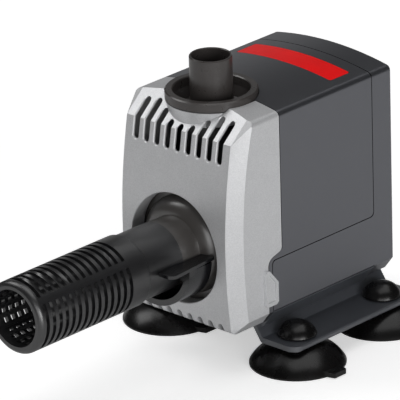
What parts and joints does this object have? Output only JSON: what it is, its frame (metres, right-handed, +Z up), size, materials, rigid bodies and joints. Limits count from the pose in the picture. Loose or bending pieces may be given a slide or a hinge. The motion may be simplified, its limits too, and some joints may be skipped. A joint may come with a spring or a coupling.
{
  "type": "wave maker pump",
  "caption": "Small submersible aquarium pump in a box casing, with a slotted strainer on its front inlet, an upright hose spigot and a bracket on suction cups.",
  "frame": {"origin": "on the floor, under the middle of the whole pump's length and width", "axes": "+Z up along the outlet spigot, -Y along the inlet and strainer, +X to the regulator lever's side"},
  "size_m": [0.121, 0.202, 0.1309],
  "materials": {
    "silver_plastic": "satin silver moulded plastic with fine metallic flake",
    "dark_plastic": "fine matt texture, dark grey moulded plastic",
    "black_plastic": "semi-gloss black moulded plastic",
    "rubber": "smooth soft black rubber",
    "ceramic_shaft": "ground and polished",
    "ferrite_magnet": "sintered, matt",
    "core_steel": "stacked laminations",
    "bobbin_plastic": "natural nylon",
    "copper_winding": "enamelled copper wire",
    "potting": "cast resin",
    "accent_red": "gloss red inlay"
  },
  "bodies": {
    "pump_body": {"motor_housing": "dark_plastic", "rear_shell": "dark_plastic", "base_plate": "dark_plastic", "pump_chamber": "black_plastic", "chamber_gasket": "rubber", "chamber_cover": "black_plastic", "front_bush": "rubber", "rear_bush": "rubber", "rotor_shaft": "ceramic_shaft", "inlet_adapter": "black_plastic", "outlet_collar": "black_plastic", "stator_core": "core_steel", "bobbin_left": "bobbin_plastic", "bobbin_right": "bobbin_plastic", "coil_left": "copper_winding", "coil_right": "copper_winding", "potting_resin": "potting", "cable_gland": "black_plastic", "accent_inlay": "accent_red"},
    "cover": {"front_cover": "silver_plastic"},
    "rotor": {"rotor_magnet": "ferrite_magnet", "rotor_carrier": "black_plastic"},
    "impeller_body": {"impeller": "black_plastic"},
    "regulator": {"flow_regulator": "black_plastic"},
    "strainer": {"strainer_cage": "black_plastic"},
    "outlet": {"outlet_spigot": "black_plastic", "outlet_seal": "rubber"},
    "cup_front_left": {"suction_cup_front_left": "rubber"},
    "cup_front_right": {"suction_cup_front_right": "rubber"},
    "cup_rear_left": {"suction_cup_rear_left": "rubber"},
    "cup_rear_right": {"suction_cup_rear_right": "rubber"}
  },
  "joints": [
    {"name": "cover_pull", "type": "slide", "parent": "pump_body", "child": "cover", "axis": [0, -1, 0], "range_m": [0, 0.125]},
    {"name": "rotor_spin", "type": "hinge", "parent": "pump_body", "child": "rotor", "pos_m": [0, 0.0232, 0.0525], "axis": [0, 1, 0], "continuous": true},
    {"name": "impeller_lash", "type": "hinge", "parent": "rotor", "child": "impeller_body", "pos_m": [0, 0.0232, 0.0525], "axis": [0, 1, 0], "range_deg": [0, 270]},
    {"name": "regulator_turn", "type": "hinge", "parent": "pump_body", "child": "regulator", "pos_m": [0, -0.012, 0.0525], "axis": [0, -1, 0], "range_deg": [0, 90]},
    {"name": "strainer_pull", "type": "slide", "parent": "pump_body", "child": "strainer", "axis": [0, -1, 0], "range_m": [0, 0.012]},
    {"name": "outlet_turn", "type": "hinge", "parent": "pump_body", "child": "outlet", "pos_m": [0, 0.018, 0.11], "axis": [0, 0, 1], "range_deg": [0, 45]},
    {"name": "cup_turn_front_left", "type": "hinge", "parent": "pump_body", "child": "cup_front_left", "pos_m": [-0.0365, 0.0274, 0], "axis": [0, 0, 1], "continuous": true},
    {"name": "cup_turn_front_right", "type": "hinge", "parent": "pump_body", "child": "cup_front_right", "pos_m": [0.0365, 0.0274, 0], "axis": [0, 0, 1], "continuous": true},
    {"name": "cup_turn_rear_left", "type": "hinge", "parent": "pump_body", "child": "cup_rear_left", "pos_m": [-0.0365, 0.0806, 0], "axis": [0, 0, 1], "continuous": true},
    {"name": "cup_turn_rear_right", "type": "hinge", "parent": "pump_body", "child": "cup_rear_right", "pos_m": [0.0365, 0.0806, 0], "axis": [0, 0, 1], "continuous": true}
  ]
}
